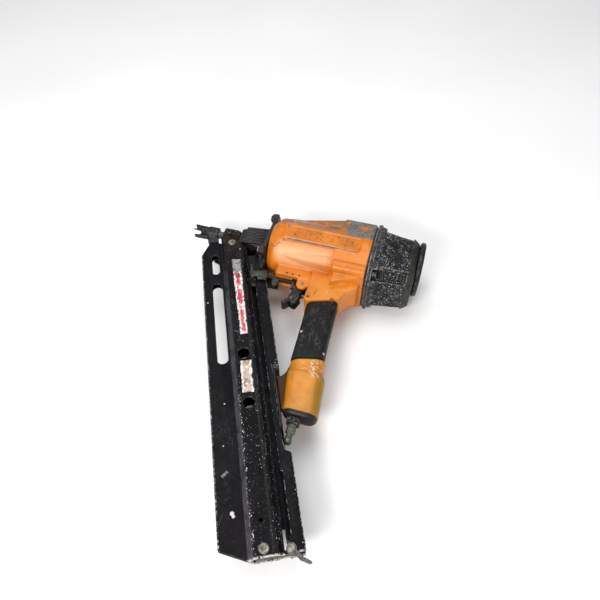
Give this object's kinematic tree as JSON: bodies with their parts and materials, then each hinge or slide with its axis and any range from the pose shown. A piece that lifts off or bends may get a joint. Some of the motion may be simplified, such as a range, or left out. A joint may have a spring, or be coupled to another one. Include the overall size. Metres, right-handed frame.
{
  "type": "pneumatic stick nailer",
  "caption": "Air-driven stick nailer with round head casting, square-on handle, long slanted nail magazine, sprung work contact, trigger, pusher and turning exhaust deflector.",
  "frame": {"origin": "centre of the underside of the bounding box, as the tool lies on its right side", "axes": "+X along the drive axis from the nose to the cap, -Y towards the air fitting and the magazine's rear end, +Z the tool's left side"},
  "size_m": [0.3604, 0.487, 0.0974],
  "materials": {
    "cast_orange": "satin enamel on a magnesium casting, scuffed",
    "black_coat": "satin black coating, scratched and chipped at the edges",
    "bright_steel": "zinc plate, dulled",
    "worn_steel": "oiled steel with dirt in its corners",
    "dark_steel": "dark phosphate, worn to grey at the edges",
    "rubber": "matt",
    "nylon": "matt",
    "aluminium": "machined",
    "plated_brass": "dull",
    "label": "worn printed film, no lettering"
  },
  "bodies": {
    "tool_body": {"body_casting": "cast_orange", "head_cap": "black_coat", "magazine_left_cover": "black_coat", "magazine_right_cover": "black_coat", "head_rail": "black_coat", "cap_screw_1": "bright_steel", "cap_screw_2": "bright_steel", "cap_screw_3": "bright_steel", "cap_screw_4": "bright_steel", "deflector_screw": "bright_steel", "trigger_pin": "bright_steel", "valve_pin": "bright_steel", "nose_bolt_2": "bright_steel", "nose_bolt_3": "bright_steel", "nose_bolt_4": "bright_steel", "rear_cover_screw": "bright_steel", "front_cover_screw": "bright_steel", "front_cover_screw_right": "bright_steel", "rail_screw": "bright_steel", "head_valve_spring": "worn_steel", "spring_coil": "worn_steel", "roll_pin": "worn_steel", "end_cap": "dark_steel", "nose_casting": "dark_steel", "nose_bolt_1": "dark_steel", "driver_guide": "dark_steel", "driver_barrel": "dark_steel", "guide_screw": "dark_steel", "rear_block": "dark_steel", "magazine_bracket": "dark_steel", "rubber_grip": "rubber", "bumper": "rubber", "cap_gasket": "rubber", "trigger_valve_body": "nylon", "coil_hub": "nylon", "cylinder_sleeve": "aluminium", "air_fitting": "plated_brass", "front_label": "label", "rear_label": "label"},
    "piston": {"piston": "aluminium", "piston_o_ring": "rubber", "driver_blade": "worn_steel"},
    "head_valve": {"head_valve": "nylon"},
    "exhaust_deflector": {"exhaust_deflector": "black_coat"},
    "trigger": {"trigger": "dark_steel", "trip_lever_pin": "bright_steel"},
    "trip_lever": {"trip_lever": "worn_steel"},
    "valve_stem": {"valve_stem": "plated_brass"},
    "work_contact": {"work_contact": "worn_steel"},
    "pusher": {"pusher": "dark_steel", "pusher_tab": "worn_steel"},
    "nail_stop": {"nail_stop": "bright_steel"}
  },
  "joints": [
    {"name": "piston_slide", "type": "slide", "parent": "tool_body", "child": "piston", "axis": [-1, 0, 0], "range_m": [0, 0.095]},
    {"name": "head_valve_slide", "type": "slide", "parent": "tool_body", "child": "head_valve", "axis": [1, 0, 0], "range_m": [0, 0.007], "stiffness_N_per_m": 400, "springref_m": -0.012, "deforming": ["head_valve_spring"]},
    {"name": "deflector_turn", "type": "hinge", "parent": "tool_body", "child": "exhaust_deflector", "pos_m": [0.17485, 0.18951, 0.04841], "axis": [1, 0, 0], "continuous": true},
    {"name": "trigger_hinge", "type": "hinge", "parent": "tool_body", "child": "trigger", "pos_m": [0.01785, 0.11951, 0.04841], "axis": [0, 0, 1], "range_deg": [0, 10], "stiffness_Nm_per_rad": 0.1, "springref_deg": -20.05},
    {"name": "trip_lever_hinge", "type": "hinge", "parent": "trigger", "child": "trip_lever", "pos_m": [0.00935, 0.09301, 0.04841], "axis": [0, 0, -1], "range_deg": [0, 3.3]},
    {"name": "valve_stem_slide", "type": "slide", "parent": "tool_body", "child": "valve_stem", "axis": [1, 0, 0], "range_m": [0, 0.003]},
    {"name": "work_contact_slide", "type": "slide", "parent": "tool_body", "child": "work_contact", "axis": [1, 0, 0], "range_m": [0, 0.01], "stiffness_N_per_m": 300, "springref_m": -0.02},
    {"name": "pusher_slide", "type": "slide", "parent": "tool_body", "child": "pusher", "axis": [0.4179, -0.9085, 0], "range_m": [0, 0.32], "stiffness_N_per_m": 5, "springref_m": -1.5},
    {"name": "nail_stop_hinge", "type": "hinge", "parent": "tool_body", "child": "nail_stop", "pos_m": [0.10301, -0.22124, 0.06041], "axis": [0, 0, 1], "range_deg": [0, 35]}
  ],
  "couplings": [
    {"joint": "trip_lever_hinge", "follows": "work_contact_slide", "rad_per_m": 5.5851},
    {"joint": "valve_stem_slide", "follows": "trigger_hinge", "m_per_rad": 0.014324}
  ]
}
